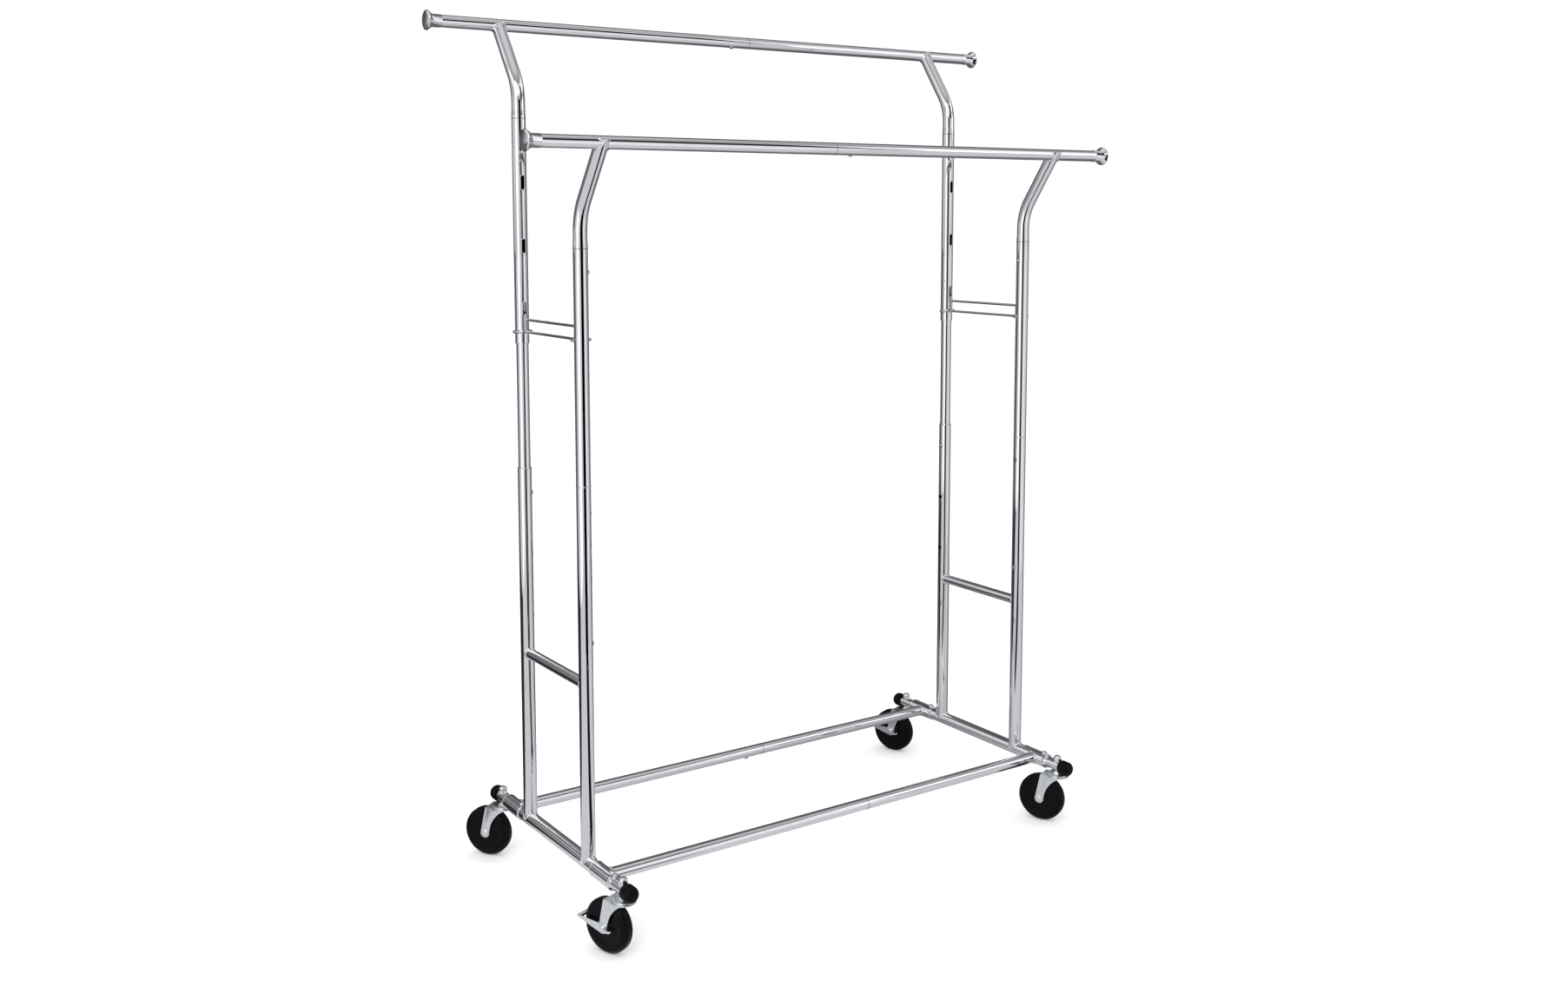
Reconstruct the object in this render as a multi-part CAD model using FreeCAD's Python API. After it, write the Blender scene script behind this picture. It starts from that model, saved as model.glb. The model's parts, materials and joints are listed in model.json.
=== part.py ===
"""Rolling clothes rack with two height-adjustable hanging rails, in millimetres.

X runs along the rails, +X to the right.  Y is the depth, and the front is -Y.
Z is up.  The origin lies on the floor, under the middle of the rack.
Each named shape is written to parts/NAME.step.
"""
import FreeCAD, Part
import math
import os

Vector = FreeCAD.Vector

# ---- Overall size ------------------------------------------------------------------
TOTAL_LENGTH = 1290.0       # over the domed ends of the hanging rails
TOTAL_DEPTH = 550.0         # over the rubber caps of the base
TOTAL_HEIGHT = 1600.0       # floor to the top of the raised rear rail's end discs

# ---- Tubes -------------------------------------------------------------------------
POST_R = 12.7               # posts and the middle of the base end tubes
POST_BORE_R = 11.7
INNER_R = 11.1              # telescoping tubes
INNER_BORE_R = 10.1
RAIL_R = 11.1               # hanging rails and bottom rails
RAIL_BORE_R = 10.1
SPIGOT_BORE_R = 9.1
NECK_R = 12.2               # bent necks under the hanging rails
NECK_BORE_R = 11.0
NECK_SPIGOT_BORE_R = 10.6
CROSSBAR_R = 9.5
CROSSBAR_BORE_R = 8.5
STUB_R = 10.8               # narrowed ends of the base end tubes
STUB_BORE_R = 9.4
SLEEVE_R = 14.3

# ---- Places of the main pieces -----------------------------------------------------
POST_X = 505.0
POST_Y = 116.0
RAIL_Y = 197.0
BOTTOM_RAIL_Y = 178.0
BASE_Z = 118.5              # axis of the end tubes and the bottom rails
POST_TIP = 1.5              # the saddle-cut feet of the posts stop this far above the axis
LOWER_POST_TOP = 781.0
CROSSBAR_Z = 436.0
LOW_RAIL_Z = 1355.0         # axis of a hanging rail at its lowest setting
END_DISC_R = 18.0           # stops at the ends of the hanging rails
LIFT = TOTAL_HEIGHT - END_DISC_R - LOW_RAIL_Z   # the rear rail is up by two steps

# ---- Height adjustment -------------------------------------------------------------
LOW_HOLE_Z = 507.0          # lowest of the three holes in each lower post
HOLE_COUNT = 3
HOLE_PITCH = LIFT / (HOLE_COUNT - 1)
BUTTON_R = 3.9
HOLE_R = 4.2
BUTTON_PROUD = 3.0          # how far a button stands out of its tube
BUTTON_DOME = 1.5
BUTTON_SEAT_R = 5.5         # collar that keeps a button in its tube
BUTTON_SEAT_THICK = 1.5
BUTTON_SEAT_GAP = 0.6
BUTTON_TAIL = 2.5
BUTTON_EDGE = 0.8            # chamfer of the collar
BUTTON_STEP = 1.0            # how much thinner the tail and the crown are
BUTTON_CROWN = 0.4
INNER_BELOW_BUTTON = 27.0
INNER_ABOVE_POST_END = 120.0
INNER_GRIP_LENGTH = 60.0    # widened top of the telescoping tube, tight in the post
END_GAP = 0.3               # between an upper post's end and the lower post under it

# ---- Hangers: upper posts, necks and rails -----------------------------------------
NECK_SPLICE_Z = 1183.0
NECK_SPIGOT_LENGTH = 55.0
NECK_BUTTON_DROP = 40.0
NECK_BEND_Z = 1240.0
NECK_BEND_R = 95.0
NECK_FLARE_LENGTH = 14.0
NECK_FLARE_BAND = 5.6       # full-width foot of the flare
NECK_WRAP = 6.0             # how far a neck reaches up round its rail
SLOT_TOP_Z = 1070.0         # middle of the highest brace slot
SLOT_PITCH = 113.0
SLOT_COUNT = 3
SLOT_LENGTH = 26.0
SLOT_WIDTH = 8.0
RAIL_SPLICE_X = 38.0
BOTTOM_SPLICE_X = 57.0
SPIGOT_LENGTH = 80.0
SPIGOT_ROOT = 4.0           # how far a spigot is fixed inside its own tube
SPLICE_BUTTON_OFFSET = 40.0
RAIL_BUTTON_TILT = 25.0     # degrees from straight down, turned to the inside
END_COLLAR_LENGTH = 16.0
END_COLLAR_R = 11.7
END_FLARE_LENGTH = 8.0
END_DISC_EDGE = 2.5
END_DOME = 3.0
END_DISC_CHAMFER = 0.8
END_PLUG_LENGTH = 20.0

# ---- Wire braces -------------------------------------------------------------------
WIRE_R = 2.5
SADDLE_WIRE_R = 2.8
BRACE_TOP_Z = 1052.0
BRACE_LOW_Z = 1030.0
BRACE_CLEARANCE = 0.4       # to the posts that it bears on
HOOK_REACH = 8.0
HOOK_TIP_DROP = 7.0

# ---- Base --------------------------------------------------------------------------
SLEEVE_LENGTH = 64.0
SLEEVE_END_GAP = 2.0         # full-width tube beyond each sleeve
TAPER_LENGTH = 4.0
STUB_END_Y = 264.0
CAP_R = 14.4
CAP_LENGTH = 24.0
CAP_ROUND = 9.0
CAP_EDGE = 1.0
SCREW_R = 3.0
SCREW_HEAD_R = 6.0
SCREW_HEAD = 4.5
SCREW_RIM = 0.8
SCREW_BITE = 3.0            # how far a screw goes into the end tube
SCREW_INSET = 7.0           # from the -Y end of each sleeve
BOLT_HOLE_R = 5.0

# ---- Casters -----------------------------------------------------------------------
CASTER_Y = 240.0
TRAIL = 32.0                # axle behind the swivel axis
TRAIL_TURN = {              # degrees from +X
    "front_left": 110.0,
    "rear_left": 127.0,
    "front_right": 114.0,
    "rear_right": 112.0,
}
WHEEL_R = 47.5
WHEEL_WIDTH = 25.0
HUB_WIDTH = 29.4
HUB_R = 14.0
HUB_SLOPE = 2.0
WHEEL_DISH = 1.0            # how far the sides are sunk about the hub
WHEEL_SHOULDER = 10.0       # rounding from the side to the tread
AXLE_R = 4.0
AXLE_FIT = 0.05
FORK_GAP = 30.0
FORK_PLATE = 2.0
FORK_END_R = 9.0            # round lower end of each arm
FORK_FRONT = 12.0           # arm root ahead of the swivel axis
FORK_WAIST_X = 11.0         # point on the curved front edge of an arm
FORK_WAIST_Z = 79.0
CROWN_Z = 97.0
CROWN_THICK = 2.0
CROWN_R = 23.0
CROWN_REACH = 30.0
RACE_THICK = 2.5
RACE_R = 19.0
RACE_GAP = 0.3
RACE_BORE_R = 9.0
RACE_ROOT = 1.0             # how far the race sinks into the crown
RACE_EDGE = 0.8
TOP_RACE_R = 21.0
TOP_RACE_THICK = 2.0
TOP_RACE_SLOPE = 2.5
STEM_R = 5.0
STEM_FIT = 0.05
STEM_HEAD_R = 8.0
STEM_HEAD = 2.0
STEM_EDGE = 1.0
STEM_SHORT = 3.0            # stem end below the top of its domed nut
NUT_ACROSS = 15.0
ACORN_HEIGHT = 11.0
AXLE_HEAD_R = 6.5
AXLE_HEAD = 2.5
AXLE_RIM = 0.8
BRAKED = ("front_left", "rear_right")
LEVER_PLATE = 1.5
LEVER_GAP = 0.3
LEVER_REACH = 57.0
LEVER_EYE_R = 8.5           # round part of the lever about the axle
LEVER_TIP_HALF = 1.6        # half height of the lever's thin end
LEVER_HOOK_REACH = 19.0
LEVER_HOOK_WIDTH = 3.0
LEVER_TILT = 8.0            # degrees by which the released lever points up
SHOE_GAP = 3.0
SHOE_DROP = 5.0

ROUND_STEPS = 6             # facets in a quarter turn of a lathed rounding

CORNERS = {
    "front_left": (-1, -1),
    "front_right": (1, -1),
    "rear_left": (-1, 1),
    "rear_right": (1, 1),
}
SIDES = {"left": -1, "right": 1}
HANGERS = {"front": (-1, 0.0), "rear": (1, LIFT)}   # side of Y, and lift at rest
SPLICE_SIDE = {"front": -1, "rear": 1}              # side of X of the rail's joint

X_AXIS = Vector(1, 0, 0)
Y_AXIS = Vector(0, 1, 0)
Z_AXIS = Vector(0, 0, 1)

nodes = {}


# ---- Helpers -----------------------------------------------------------------------
def keep(name, shape):
    """Names a finished shape."""
    nodes[name] = shape


def rod(radius, start, end):
    """A solid cylinder between two points."""
    way = end - start
    return Part.makeCylinder(radius, way.Length, start, way)


def tube(outer, bore, start, end):
    """A round tube between two points."""
    return rod(outer, start, end).cut(rod(bore, start, end))


def lathe(profile, base, axis):
    """Turns (radius, distance along the axis) points into a solid of revolution."""
    points = [Vector(r, 0, h) for r, h in profile]
    face = Part.Face(Part.makePolygon(points + points[:1]))
    solid = face.revolve(Vector(0, 0, 0), Z_AXIS, 360)
    solid.Placement = FreeCAD.Placement(base, FreeCAD.Rotation(Z_AXIS, axis))
    return solid


def rounding(corner, width, height):
    """Points of a quarter ellipse about a corner, from its widest point to its top."""
    turns = [math.pi / 2 * n / ROUND_STEPS for n in range(ROUND_STEPS + 1)]
    return [(corner[0] + width * math.cos(a), corner[1] + height * math.sin(a)) for a in turns]


def mirrored(shape, side_x, side_y):
    """The shape on another side of the rack, for sides of -1 or +1."""
    if side_x < 0:
        shape = shape.mirror(Vector(0, 0, 0), X_AXIS)
    if side_y < 0:
        shape = shape.mirror(Vector(0, 0, 0), Y_AXIS)
    return shape


def moved(shape, x=0.0, y=0.0, z=0.0):
    """A copy of the shape, shifted."""
    copy = shape.copy()
    copy.translate(Vector(x, y, z))
    return copy


def along_x(radius, bore, x0, x1, y, z):
    """A tube along X."""
    return tube(radius, bore, Vector(x0, y, z), Vector(x1, y, z))


def hexagon(across, height, base):
    """An upright hexagonal nut blank."""
    corner_r = across / 2 / math.cos(math.pi / 6)
    ring = [
        base + Vector(corner_r * math.cos(a), corner_r * math.sin(a), 0)
        for a in (math.radians(60 * n) for n in range(7))
    ]
    return Part.Face(Part.makePolygon(ring)).extrude(Vector(0, 0, height))


def slot_cutter(z):
    """An upright round-ended slot, cut through a wall on the +Y side of a post at X=0."""
    half = SLOT_LENGTH / 2 - SLOT_WIDTH / 2
    reach = 2 * POST_R
    ends = [rod(SLOT_WIDTH / 2, Vector(0, 0, h), Vector(0, reach, h)) for h in (z - half, z + half)]
    middle = Part.makeBox(SLOT_WIDTH, reach, 2 * half, Vector(-SLOT_WIDTH / 2, 0, z - half))
    return ends[0].fuse([ends[1], middle])


def snap_button(tube_r, bore_r, base, way):
    """A sprung round button that locks two tubes.

    It stands out of a tube of radius tube_r, and its collar bears inside bore_r.
    base is on the tube's axis and way points out through the wall.
    """
    top = tube_r + BUTTON_PROUD
    seat = bore_r - BUTTON_SEAT_GAP - BUTTON_EDGE
    profile = [
        (0, seat - BUTTON_SEAT_THICK - BUTTON_TAIL),
        (BUTTON_R - BUTTON_STEP, seat - BUTTON_SEAT_THICK - BUTTON_TAIL),
        (BUTTON_R - BUTTON_STEP, seat - BUTTON_SEAT_THICK),
        (BUTTON_SEAT_R, seat - BUTTON_SEAT_THICK),
        (BUTTON_SEAT_R, seat - BUTTON_EDGE),
        (BUTTON_R, seat),
        (BUTTON_R, top - BUTTON_DOME),
        (BUTTON_R - BUTTON_STEP, top - BUTTON_CROWN),
        (0, top),
    ]
    return lathe(profile, base, way)


# ---- Base --------------------------------------------------------------------------
def end_tube():
    """Base tube along Y at X=0: narrowed ends, holes for the caster bolts."""
    wide = BOTTOM_RAIL_Y + SLEEVE_LENGTH / 2 + SLEEVE_END_GAP
    narrow = wide + TAPER_LENGTH
    outer = [(0, -STUB_END_Y), (STUB_R, -STUB_END_Y), (STUB_R, -narrow), (POST_R, -wide)]
    outer += [(r, -h) for r, h in reversed(outer)]
    bore = [(0, -STUB_END_Y), (STUB_BORE_R, -STUB_END_Y), (STUB_BORE_R, -narrow), (POST_BORE_R, -wide)]
    bore += [(r, -h) for r, h in reversed(bore)]
    centre = Vector(0, 0, BASE_Z)
    shape = lathe(outer, centre, Y_AXIS).cut(lathe(bore, centre, Y_AXIS))
    for side in (-1, 1):
        bolt, reach = Vector(0, side * CASTER_Y, BASE_Z), Z_AXIS * (2 * POST_R)
        shape = shape.cut(rod(BOLT_HOLE_R, bolt - reach, bolt + reach))
    for y in screw_places():
        shape = shape.cut(rod(SCREW_R, Vector(0, y, BASE_Z), Vector(0, y, BASE_Z + 2 * POST_R)))
    return shape


def screw_places():
    """Y of the screw that locks each sleeve."""
    return [side * BOTTOM_RAIL_Y - SLEEVE_LENGTH / 2 + SCREW_INSET for side in (-1, 1)]


def lower_post(side_x, side_y):
    """Welded post with a row of height holes on its inner X face."""
    x, y = side_x * POST_X, side_y * POST_Y
    shape = tube(POST_R, POST_BORE_R, Vector(x, y, BASE_Z + POST_TIP), Vector(x, y, LOWER_POST_TOP))
    for step in range(HOLE_COUNT):
        start = Vector(x, y, LOW_HOLE_Z + step * HOLE_PITCH)
        shape = shape.cut(rod(HOLE_R, start, start - Vector(side_x * 2 * POST_R, 0, 0)))
    end = rod(POST_R, Vector(x, -STUB_END_Y, BASE_Z), Vector(x, STUB_END_Y, BASE_Z))
    return shape.cut(end)


def crossbar(side_x):
    """Bar that joins the two lower posts of one end frame."""
    x = side_x * POST_X
    shape = tube(CROSSBAR_R, CROSSBAR_BORE_R, Vector(x, -POST_Y, CROSSBAR_Z), Vector(x, POST_Y, CROSSBAR_Z))
    for side_y in (-1, 1):
        y = side_y * POST_Y
        reach = Z_AXIS * (2 * CROSSBAR_R)
        on_post = Vector(x, y, CROSSBAR_Z)
        shape = shape.cut(rod(POST_R, on_post - reach, on_post + reach))
    return shape


def bottom_rail_half(side_x, y):
    """Half of a bottom rail, from its sleeve to the joint in the middle."""
    splice = BOTTOM_SPLICE_X
    shape = along_x(RAIL_R, RAIL_BORE_R, side_x * POST_X, splice, y, BASE_Z)
    if side_x > 0:
        tip, root = splice - SPIGOT_LENGTH, splice + SPIGOT_ROOT
        shape = shape.fuse(along_x(RAIL_BORE_R, SPIGOT_BORE_R, tip, root, y, BASE_Z))
    on_sleeve = Vector(side_x * POST_X, y, BASE_Z)
    reach = Y_AXIS * (SLEEVE_LENGTH / 2)
    return shape.cut(rod(SLEEVE_R, on_sleeve - reach, on_sleeve + reach))


def bottom_button_place(y):
    """Axis point and pointing direction of a bottom rail's button."""
    tilt = math.radians(RAIL_BUTTON_TILT)
    way = Vector(0, math.copysign(math.sin(tilt), -y), -math.cos(tilt))
    return Vector(BOTTOM_SPLICE_X - SPLICE_BUTTON_OFFSET, y, BASE_Z), way


def build_base():
    """Everything welded or bolted to the two end frames and the bottom rails."""
    for side, side_x in SIDES.items():
        keep("end_tube_" + side, moved(end_tube(), x=side_x * POST_X))
        keep("crossbar_" + side, crossbar(side_x))
    for corner, (side_x, side_y) in CORNERS.items():
        keep("lower_post_" + corner, lower_post(side_x, side_y))
    for place, side_y in (("front", -1), ("rear", 1)):
        y = side_y * BOTTOM_RAIL_Y
        hole_start, way = bottom_button_place(y)
        hole = rod(HOLE_R, hole_start, hole_start + way * (2 * RAIL_R))
        for side, side_x in SIDES.items():
            keep(f"bottom_rail_{place}_{side}", bottom_rail_half(side_x, y).cut(hole))
        keep(f"bottom_button_{place}", snap_button(RAIL_R, SPIGOT_BORE_R, hole_start, way))
    sleeves, caps, screws = [], [], []
    for side_x in SIDES.values():
        x = side_x * POST_X
        for side_y, screw_y in zip((-1, 1), screw_places()):
            middle = Vector(x, side_y * BOTTOM_RAIL_Y, BASE_Z)
            half = Vector(0, SLEEVE_LENGTH / 2, 0)
            hole = rod(SCREW_R, Vector(x, screw_y, BASE_Z), Vector(x, screw_y, BASE_Z + 2 * SLEEVE_R))
            sleeves.append(tube(SLEEVE_R, POST_R, middle - half, middle + half).cut(hole))
            caps.append(end_cap(x, side_y))
            screws.append(round_screw(x, screw_y))
    keep("rail_sleeves", Part.makeCompound(sleeves))
    keep("end_caps", Part.makeCompound(caps))
    keep("sleeve_screws", Part.makeCompound(screws))


def end_cap(x, side_y):
    """Rubber cap pushed over the end of a base tube."""
    inner = TOTAL_DEPTH / 2 - CAP_LENGTH
    outer = TOTAL_DEPTH / 2
    bend = rounding((CAP_R - CAP_ROUND, outer - CAP_ROUND), CAP_ROUND, CAP_ROUND)
    profile = [(STUB_R, inner), (CAP_R - CAP_EDGE, inner), (CAP_R, inner + CAP_EDGE)] + bend
    profile += [(0, outer), (0, STUB_END_Y), (STUB_R, STUB_END_Y)]
    return lathe(profile, Vector(x, 0, BASE_Z), Vector(0, side_y, 0))


def round_screw(x, y):
    """Round-headed screw through a sleeve into the end tube."""
    top, low = SLEEVE_R, POST_BORE_R - SCREW_BITE
    dome = rounding((0, top + SCREW_RIM), SCREW_HEAD_R, SCREW_HEAD - SCREW_RIM)
    profile = [(0, low), (SCREW_R, low), (SCREW_R, top), (SCREW_HEAD_R, top)] + dome
    return lathe(profile, Vector(x, y, BASE_Z), Z_AXIS)


# ---- Hangers -----------------------------------------------------------------------
def inner_tube(side_x, side_y, lift):
    """Telescoping tube, fixed in an upper post and sliding in a lower one."""
    x, y = side_x * POST_X, side_y * POST_Y
    low = LOW_HOLE_Z - INNER_BELOW_BUTTON + lift
    high = LOWER_POST_TOP + INNER_ABOVE_POST_END + lift
    grip = high - INNER_GRIP_LENGTH
    shape = tube(INNER_R, INNER_BORE_R, Vector(x, y, low), Vector(x, y, grip))
    shape = shape.fuse(tube(POST_BORE_R, INNER_BORE_R, Vector(x, y, grip), Vector(x, y, high)))
    hole = Vector(x, y, LOW_HOLE_Z + lift)
    shape = shape.cut(rod(HOLE_R, hole, hole - Vector(side_x * 2 * POST_R, 0, 0)))
    return shape.cut(post_slots(x, y, side_y, lift))


def post_slots(x, y, side_y, lift):
    """The brace slots of one upper post, on its side that faces the other hanger."""
    cutters = []
    for step in range(SLOT_COUNT):
        cutter = mirrored(slot_cutter(SLOT_TOP_Z - step * SLOT_PITCH + lift), 1, -side_y)
        cutters.append(moved(cutter, x=x, y=y))
    return cutters[0].fuse(cutters[1:])


def upper_post(side_x, side_y, lift):
    """Post between the telescoping tube and the neck."""
    x, y = side_x * POST_X, side_y * POST_Y
    low = LOWER_POST_TOP + END_GAP + lift
    high = NECK_SPLICE_Z + lift
    shape = tube(POST_R, POST_BORE_R, Vector(x, y, low), Vector(x, y, high))
    hole = Vector(x, y, high - NECK_BUTTON_DROP)
    shape = shape.cut(rod(HOLE_R, hole, hole - Vector(side_x * 2 * POST_R, 0, 0)))
    return shape.cut(post_slots(x, y, side_y, lift))


def neck_path(x, side_y, lift, start_z):
    """Centre line of a neck: up, round one bend, and on past the rail's axis."""
    foot = Vector(x, side_y * POST_Y, start_z)
    corner = Vector(x, side_y * POST_Y, NECK_BEND_Z + lift)
    head = Vector(x, side_y * RAIL_Y, LOW_RAIL_Z + lift)
    up = (head - corner).normalize()
    half_turn = math.acos(up.z) / 2
    setback = NECK_BEND_R * math.tan(half_turn)
    bend_start = corner - Z_AXIS * setback
    bend_end = corner + up * setback
    inward = (up - Z_AXIS).normalize()
    to_middle = NECK_BEND_R / math.cos(half_turn) - NECK_BEND_R
    middle = corner + inward * to_middle
    edges = [
        Part.LineSegment(foot, bend_start).toShape(),
        Part.Arc(bend_start, middle, bend_end).toShape(),
        Part.LineSegment(bend_end, head + up * NECK_R).toShape(),
    ]
    return Part.Wire(edges)


def pipe(path, start, radius):
    """A solid round bar along a path that starts upwards."""
    ring = Part.Wire(Part.makeCircle(radius, start, Z_AXIS))
    return path.makePipeShell([ring], True, False)


def neck(side_x, side_y, lift):
    """Bent tube from the upper post to its rail, with a spigot at the bottom."""
    x, y = side_x * POST_X, side_y * POST_Y
    splice = NECK_SPLICE_Z + lift
    path = neck_path(x, side_y, lift, splice)
    start = Vector(x, y, splice)
    shape = pipe(path, start, NECK_R).cut(pipe(path, start, NECK_BORE_R))
    flare = lathe(
        [
            (NECK_BORE_R, 0),
            (POST_R, 0),
            (POST_R, NECK_FLARE_BAND),
            (NECK_R, NECK_FLARE_LENGTH),
            (NECK_BORE_R, NECK_FLARE_LENGTH),
        ],
        start,
        Z_AXIS,
    )
    spigot_low = start - Z_AXIS * NECK_SPIGOT_LENGTH
    spigot = tube(POST_BORE_R, NECK_SPIGOT_BORE_R, spigot_low, start + Z_AXIS * SPIGOT_ROOT)
    shape = shape.fuse([flare, spigot])
    hole = start - Z_AXIS * NECK_BUTTON_DROP
    shape = shape.cut(rod(HOLE_R, hole, hole - Vector(side_x * 2 * POST_R, 0, 0)))
    on_rail = Vector(x, side_y * RAIL_Y, LOW_RAIL_Z + lift)
    across = X_AXIS * (2 * NECK_R)
    rail = rod(RAIL_R, on_rail - across, on_rail + across)
    size = 4 * NECK_R
    above = Part.makeBox(size, size, size, on_rail + Vector(-size / 2, -size / 2, NECK_WRAP))
    return shape.cut(rail).cut(above).removeSplitter()


def rail_half(side_x, side_y, lift, splice_side):
    """Half of a hanging rail; the half beyond the splice carries the spigot."""
    y, z = side_y * RAIL_Y, LOW_RAIL_Z + lift
    splice = splice_side * RAIL_SPLICE_X
    shape = along_x(RAIL_R, RAIL_BORE_R, side_x * rail_end(), splice, y, z)
    if side_x == splice_side:
        tip = splice - splice_side * SPIGOT_LENGTH
        root = splice + splice_side * SPIGOT_ROOT
        shape = shape.fuse(along_x(RAIL_BORE_R, SPIGOT_BORE_R, tip, root, y, z))
    return shape


def rail_end():
    """Distance of a rail tube's end from the middle."""
    return TOTAL_LENGTH / 2 - END_DOME - END_DISC_EDGE - END_FLARE_LENGTH - END_COLLAR_LENGTH


def end_disc(side_x, y, z):
    """Chromed stop at a rail's end: plug, collar, flare and domed disc."""
    flare = END_COLLAR_LENGTH
    rim = flare + END_FLARE_LENGTH
    dome = rim + END_DISC_EDGE
    profile = [
        (0, -END_PLUG_LENGTH),
        (RAIL_BORE_R, -END_PLUG_LENGTH),
        (RAIL_BORE_R, 0),
        (END_COLLAR_R, 0),
        (END_COLLAR_R, flare),
        (END_DISC_R - END_DISC_CHAMFER, rim),
        (END_DISC_R, rim + END_DISC_CHAMFER),
    ]
    profile += rounding((0, dome), END_DISC_R, END_DOME)
    return lathe(profile, Vector(side_x * rail_end(), y, z), Vector(side_x, 0, 0))


def rail_button_place(side_y, lift, splice_side):
    """Axis point and pointing direction of a hanging rail's button."""
    tilt = math.radians(RAIL_BUTTON_TILT)
    way = Vector(0, -side_y * math.sin(tilt), -math.cos(tilt))
    x = splice_side * (RAIL_SPLICE_X - SPLICE_BUTTON_OFFSET)
    return Vector(x, side_y * RAIL_Y, LOW_RAIL_Z + lift), way


def build_hanger(place):
    """One height-adjustable hanger: two uprights and the rail across them."""
    side_y, lift = HANGERS[place]
    splice_side = SPLICE_SIDE[place]
    hole_start, way = rail_button_place(side_y, lift, splice_side)
    rail_hole = rod(HOLE_R, hole_start, hole_start + way * (2 * RAIL_R))
    discs = []
    for side, side_x in SIDES.items():
        x, y = side_x * POST_X, side_y * POST_Y
        inward = Vector(-side_x, 0, 0)
        keep(f"inner_tube_{place}_{side}", inner_tube(side_x, side_y, lift))
        keep(f"upper_post_{place}_{side}", upper_post(side_x, side_y, lift))
        keep(f"neck_{place}_{side}", neck(side_x, side_y, lift))
        keep(f"hanging_rail_{place}_{side}", rail_half(side_x, side_y, lift, splice_side).cut(rail_hole))
        low = Vector(x, y, LOW_HOLE_Z + lift)
        keep(f"height_button_{place}_{side}", snap_button(POST_R, INNER_BORE_R, low, inward))
        high = Vector(x, y, NECK_SPLICE_Z - NECK_BUTTON_DROP + lift)
        keep(f"neck_button_{place}_{side}", snap_button(POST_R, NECK_SPIGOT_BORE_R, high, inward))
        discs.append(end_disc(side_x, side_y * RAIL_Y, LOW_RAIL_Z + lift))
    keep(f"rail_end_discs_{place}", Part.makeCompound(discs))
    keep(f"rail_button_{place}", snap_button(RAIL_R, SPIGOT_BORE_R, hole_start, way))


def wire_path(points):
    """Round wire through the points, with ball corners."""
    pieces = [rod(WIRE_R, a, b) for a, b in zip(points, points[1:])]
    pieces += [Part.makeSphere(WIRE_R, p) for p in points]
    return pieces


def saddle(side_y):
    """Half ring that bears on the inner half of a post."""
    ring_r = POST_R + BRACE_CLEARANCE + SADDLE_WIRE_R
    centre = Vector(0, side_y * POST_Y, BRACE_LOW_Z)
    ring = Part.makeTorus(ring_r, SADDLE_WIRE_R, centre, Z_AXIS)
    reach = 2 * ring_r
    low_y = side_y * POST_Y - (reach if side_y > 0 else 0)
    inner_half = Part.makeBox(2 * reach, reach, reach, Vector(-reach, low_y, BRACE_LOW_Z - reach / 2))
    tips = [Part.makeSphere(SADDLE_WIRE_R, centre + Vector(s * ring_r, 0, 0)) for s in (-1, 1)]
    return [ring.common(inner_half)] + tips


def brace():
    """Wire brace at X=0 between the two hangers, hooked into the rear post's lowest slot."""
    near = POST_Y - POST_R - BRACE_CLEARANCE - SADDLE_WIRE_R
    slot_bottom = SLOT_TOP_Z - (SLOT_COUNT - 1) * SLOT_PITCH + LIFT - SLOT_LENGTH / 2
    front_low, rear_low = Vector(0, -near, BRACE_LOW_Z), Vector(0, near, BRACE_LOW_Z)
    front_top, rear_top = Vector(0, -near, BRACE_TOP_Z), Vector(0, near, BRACE_TOP_Z)
    hook = Vector(0, near, slot_bottom + WIRE_R + END_GAP)
    inside = Vector(0, POST_Y - POST_R + HOOK_REACH, hook.z)
    tip = inside - Z_AXIS * HOOK_TIP_DROP
    pieces = wire_path([rear_top, front_top, front_low, rear_low])
    pieces += wire_path([rear_low, hook, inside, tip])
    for side_y in (-1, 1):
        pieces += saddle(side_y)
    return pieces[0].fuse(pieces[1:])


# ---- Casters -----------------------------------------------------------------------
def wheel():
    """Black wheel with a crowned tread and domed sides, at the origin, axle along Y."""
    half, hub = WHEEL_WIDTH / 2, HUB_WIDTH / 2
    side = [
        (AXLE_R + AXLE_FIT, -hub),
        (HUB_R, -hub),
        (HUB_R + HUB_SLOPE, -half + WHEEL_DISH),
    ]
    shoulder = [(r, -h) for r, h in rounding((WHEEL_R - WHEEL_SHOULDER, 0), WHEEL_SHOULDER, half)]
    side += shoulder[:0:-1]
    other_side = [(r, -h) for r, h in reversed(side)]
    return lathe(side + [(WHEEL_R, 0)] + other_side, Vector(0, 0, 0), Y_AXIS)


def fork_arm(side):
    """One stamped arm, from the crown down to a round end at the axle."""
    low_y = FORK_GAP / 2 if side > 0 else -FORK_GAP / 2 - FORK_PLATE
    top = CROWN_Z + CROWN_THICK
    crown_front, crown_back = -FORK_FRONT, CROWN_REACH
    side_point = Vector(TRAIL - FORK_END_R, low_y, WHEEL_R)
    low_point = Vector(TRAIL, low_y, WHEEL_R - FORK_END_R)
    back_point = Vector(TRAIL + FORK_END_R, low_y, WHEEL_R)
    waist = Vector(FORK_WAIST_X, low_y, FORK_WAIST_Z)
    edges = [
        Part.LineSegment(Vector(crown_front, low_y, top), Vector(crown_back, low_y, top)),
        Part.LineSegment(Vector(crown_back, low_y, top), back_point),
        Part.Arc(back_point, low_point, side_point),
        Part.Arc(side_point, waist, Vector(crown_front, low_y, CROWN_Z)),
        Part.LineSegment(Vector(crown_front, low_y, CROWN_Z), Vector(crown_front, low_y, top)),
    ]
    face = Part.Face(Part.Wire([edge.toShape() for edge in edges]))
    return face.extrude(Vector(0, FORK_PLATE, 0))


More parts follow.
